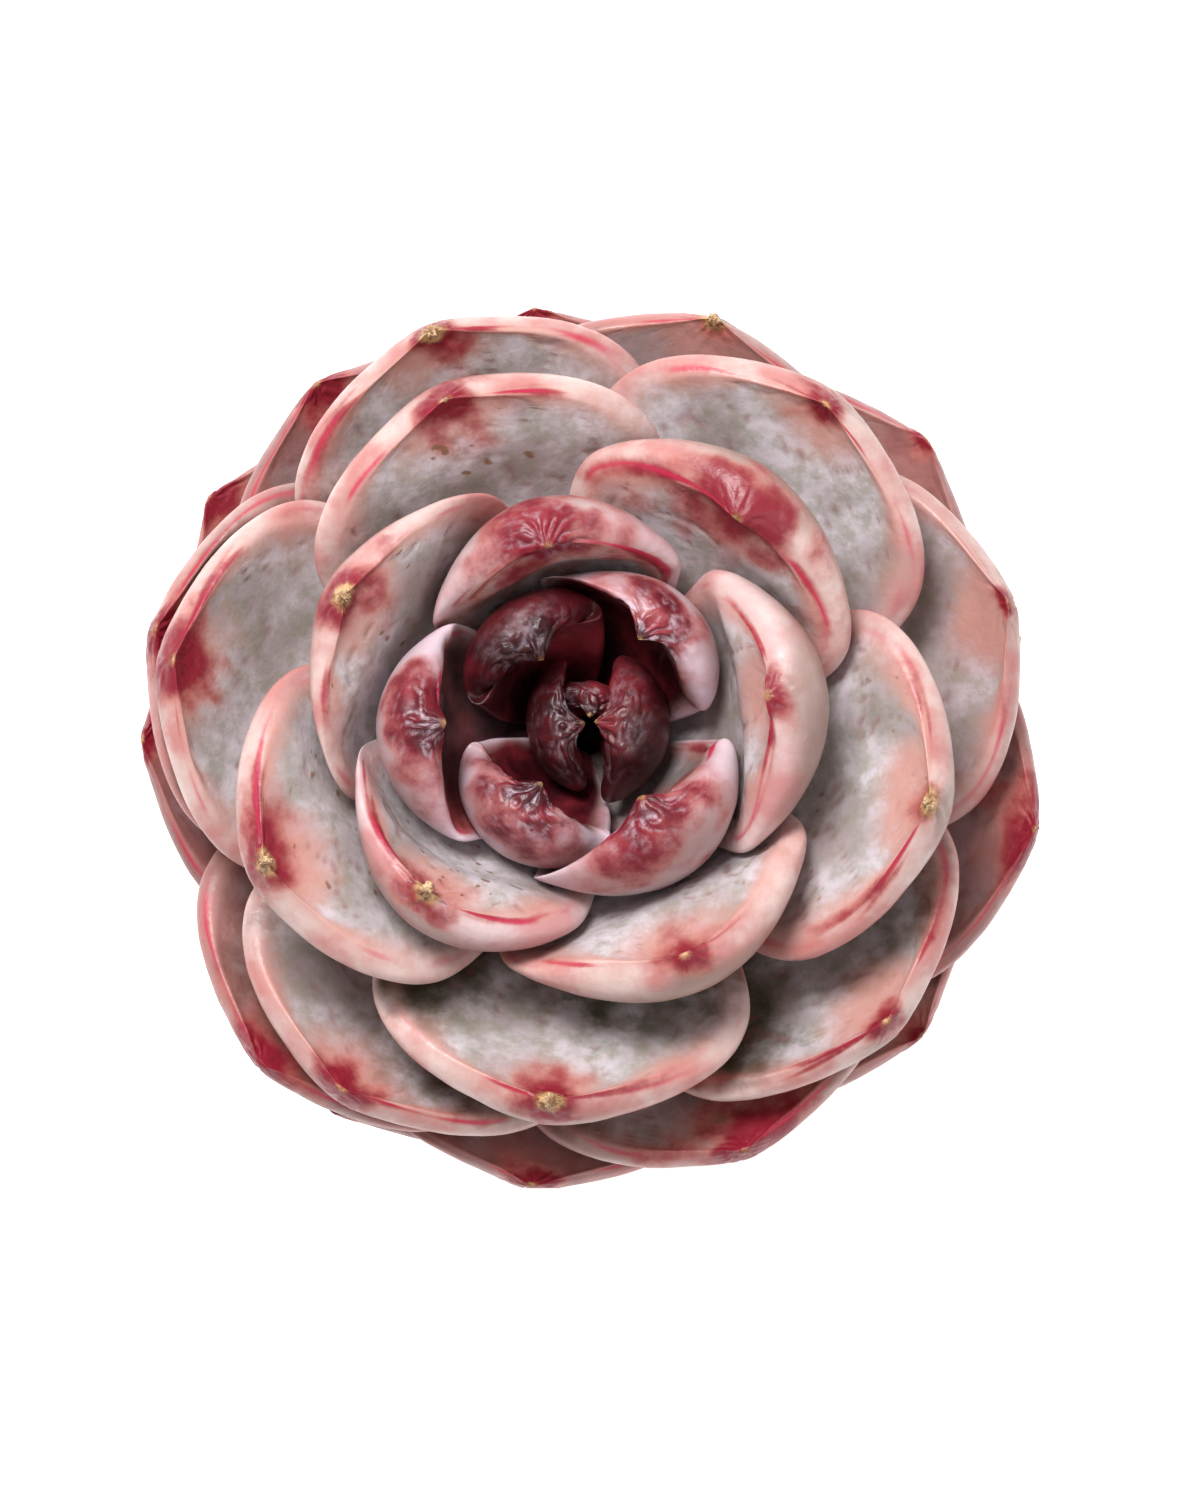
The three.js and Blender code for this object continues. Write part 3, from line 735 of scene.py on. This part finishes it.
def makeMix():
    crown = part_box("potting_mix")[1][2]
    piece = bpy.data.objects.new("potting_mix_top", nodes["potting_mix"].data.copy())
    bpy.context.scene.collection.objects.link(piece)
    onlySelect(piece)
    bpy.ops.object.mode_set(mode="EDIT")
    bpy.ops.mesh.select_all(action="SELECT")
    bpy.ops.mesh.remove_doubles(threshold=0.00002)
    bpy.ops.mesh.quads_convert_to_tris()
    bpy.ops.mesh.subdivide(number_cuts=3)
    bpy.ops.object.mode_set(mode="OBJECT")
    points = cornersOf(piece.data) / mm
    normals = normalsOf(piece.data)
    onTop = smoothStep(crown / mm - 6, crown / mm - 3.2, points[:, 2]) * (normals[:, 2] > 0.3)
    crumb = noiseOver(points, 0.5, 3) + 0.6 * noiseOver(points, 1.2, 5) - 0.5
    points[:, 2] += mixLook["crumb"] * crumb * onTop
    moveCorners(piece.data, points * mm)
    bpy.ops.object.shade_smooth()
    dampMix = crumbMaterial("dampMix", (38, 27, 20), (84, 62, 46), 260)
    finishPiece(piece, dampMix, "potting_mix")

    tree = BVHTree.FromPolygons([v.co for v in piece.data.vertices],
                                [p.vertices for p in piece.data.polygons])
    draw = np.random.default_rng(mixLook["seed"])
    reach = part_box("pot")[1][0] - mixLook["gritClear"] * mm
    for kind, (size, share, dark, light) in gritKinds.items():
        bpy.ops.object.select_all(action="DESELECT")
        bpy.ops.mesh.primitive_ico_sphere_add(subdivisions=2, radius=0.5 * size * mm)
        grain = bpy.context.object
        shape = cornersOf(grain.data)
        faces = np.array([polygon.vertices for polygon in grain.data.polygons])
        bpy.data.objects.remove(grain)
        flat = (1.3, 0.8, 0.45) if kind == "bark_chip" else (1, 0.85, 0.75)
        corners, allFaces = [], []
        for _ in range(int(mixLook["gritCount"] * share)):
            angle, radius = draw.uniform(0, 2 * math.pi), reach * math.sqrt(draw.uniform(0.06, 1))
            place = Vector((radius * math.cos(angle), radius * math.sin(angle), crown + 5 * mm))
            hit = tree.ray_cast(place, Vector((0, 0, -1)))[0]
            turn = np.linalg.qr(draw.normal(size=(3, 3)))[0]
            turn *= np.sign(np.linalg.det(turn))
            bumpy = 1 + 0.35 * noiseOver(shape / mm, 1.1, draw.uniform(0, 90))[:, None]
            grown = shape * bumpy * flat * draw.uniform(0.6, 1.25) @ turn.T
            if hit is None or hit.z < crown - mixLook["gritDeep"] * mm:
                continue
            allFaces += (faces + sum(map(len, corners))).tolist()
            corners.append(grown + np.array(hit) + (0, 0, 0.12 * size * mm))
        mesh = bpy.data.meshes.new(kind)
        mesh.from_pydata(np.vstack(corners).tolist(), [], allFaces)
        grit = bpy.data.objects.new(kind + "_grit", mesh)
        bpy.context.scene.collection.objects.link(grit)
        onlySelect(grit)
        bpy.ops.object.shade_smooth_by_angle(angle=math.radians(35))
        finishPiece(grit, crumbMaterial(kind, dark, light, 700))
        print("grit:", kind, len(corners))


makeMix()

# stem: the CAD stem smoothed, with the scars of fallen leaves round it

stemLook = {  # mm
    "scarDepth": 0.5,
    "scarSpacing": 1.9,
    "knobble": 0.35,
    "budFrom": 72.0,  # height where the bark turns into the bud
    "budTo": 80.0,
}


def barkMaterial():
    material, tree, shader = startMaterial("corkyBark", 0.9)
    cork = addNoise(tree, 260, 5, 0.65)
    fibre = addNoise(tree, 420, 3, 0.6, (1, 1, 0.25))
    skin = paint(tree, fit(tree, cork, 0.3, 0.7), tint(92, 70, 50), tint(156, 128, 98))
    skin = paint(tree, fit(tree, fibre, 0.5, 0.7, 0, 0.6), skin, tint(70, 50, 36))
    scars = combine(tree, "MULTIPLY", readMask(tree, "scarLine"), 0.7)
    skin = paint(tree, scars, skin, tint(54, 38, 28))
    skin = paint(tree, readMask(tree, "budding"), skin, tint(*leafTone["heart"]))
    tree.links.new(skin, shader.inputs["Base Color"])
    tree.links.new(fit(tree, cork, 0.3, 0.7, 0.8, 0.96), shader.inputs["Roughness"])
    rough = addBump(tree, shader, fibre, 0.5, 0.0005)
    addBump(tree, shader, cork, 0.5, 0.0008, rough)
    return material


def makeStem():
    piece = bpy.data.objects.new("rooted_stem_bark", nodes["rooted_stem"].data.copy())
    bpy.context.scene.collection.objects.link(piece)
    onlySelect(piece)
    bpy.ops.object.mode_set(mode="EDIT")
    bpy.ops.mesh.select_all(action="SELECT")
    bpy.ops.mesh.remove_doubles(threshold=0.00002)
    bpy.ops.mesh.subdivide(number_cuts=5)
    bpy.ops.object.mode_set(mode="OBJECT")
    applyModifier(piece, "SMOOTH", factor=0.5, iterations=4)
    points = cornersOf(piece.data) / mm
    normals = normalsOf(piece.data)
    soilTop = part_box("potting_mix")[1][2] / mm
    above = smoothStep(soilTop - 3, soilTop + 1, points[:, 2])
    turns = np.arctan2(points[:, 1], points[:, 0]) / (2 * math.pi)
    ledges = (points[:, 2] / stemLook["scarSpacing"] + turns * 2) % 1
    scarLine = bell(ledges, 0.5, 0.16) * above
    lift = stemLook["knobble"] * (noiseOver(points, 0.7, 6) - 0.6) - stemLook["scarDepth"] * scarLine
    moveCorners(piece.data, (points + normals * (lift * (0.3 + 0.7 * above))[:, None]) * mm)
    writeMask(piece.data, "scarLine", scarLine)
    writeMask(piece.data, "budding", smoothStep(stemLook["budFrom"], stemLook["budTo"], points[:, 2]))
    bpy.ops.object.shade_smooth()
    finishPiece(piece, barkMaterial(), "rooted_stem")
    print("stem finished:", len(piece.data.polygons), "faces")


makeStem()

# stage: floor, light and camera

stageLook = {
    "floorSize": 60.0,
    "cameraLens": 100.0,
    "cameraDistance": 0.4818,
    "cameraElevation": 84.0,
    "cameraTarget": (0.0015, -0.0028, 0.0964),
    "floorGlow": 0.6,
    "roomLight": 0.4,
    "lightAim": (0, 0, 0.09),
    "lights": {  # name: place, size, power
        "keyLight": ((-0.2, 0.36, 0.72), 0.36, 6.8),
        "fillLight": ((0.5, -0.3, 0.7), 0.7, 1.6),
    },
}


def makeStage():
    bpy.ops.mesh.primitive_plane_add(size=stageLook["floorSize"], location=(0, 0, cadBox[0][2]))
    floor = bpy.context.object
    floor.name = "floor"
    material, tree, shader = startMaterial("paleFloor", 0.9)
    shade = paint(tree, addNoise(tree, 6, 2), (0.93, 0.93, 0.93), (0.96, 0.96, 0.96))
    tree.links.new(shade, shader.inputs["Base Color"])
    shader.inputs["Emission Color"].default_value = (1, 1, 1, 1)
    shader.inputs["Emission Strength"].default_value = stageLook["floorGlow"]
    floor.data.materials.append(material)

    world = bpy.data.worlds.new("softRoom")
    world.use_nodes = True
    background = world.node_tree.nodes["Background"]
    background.inputs["Color"].default_value = (1, 0.99, 0.98, 1)
    background.inputs["Strength"].default_value = stageLook["roomLight"]
    bpy.context.scene.world = world
    for name, (place, size, power) in stageLook["lights"].items():
        bpy.ops.object.light_add(type="AREA", location=place)
        light = bpy.context.object
        light.name = name
        light.data.shape = "DISK"
        light.data.size = size
        light.data.energy = power
        aim = Vector(stageLook["lightAim"]) - light.location
        light.rotation_euler = aim.to_track_quat("-Z", "Y").to_euler()

    tilt = math.radians(stageLook["cameraElevation"])
    target = Vector(stageLook["cameraTarget"])
    away = Vector((0, -math.cos(tilt), math.sin(tilt)))
    bpy.ops.object.camera_add(location=target + away * stageLook["cameraDistance"])
    camera = bpy.context.object
    camera.rotation_euler = (-away).to_track_quat("-Z", "Y").to_euler()
    camera.data.lens = stageLook["cameraLens"]
    camera.data.sensor_width = 36
    camera.data.clip_start = 0.01
    bpy.context.scene.camera = camera
    bpy.context.scene.view_settings.view_transform = "Standard"
    print("stage set")


makeStage()
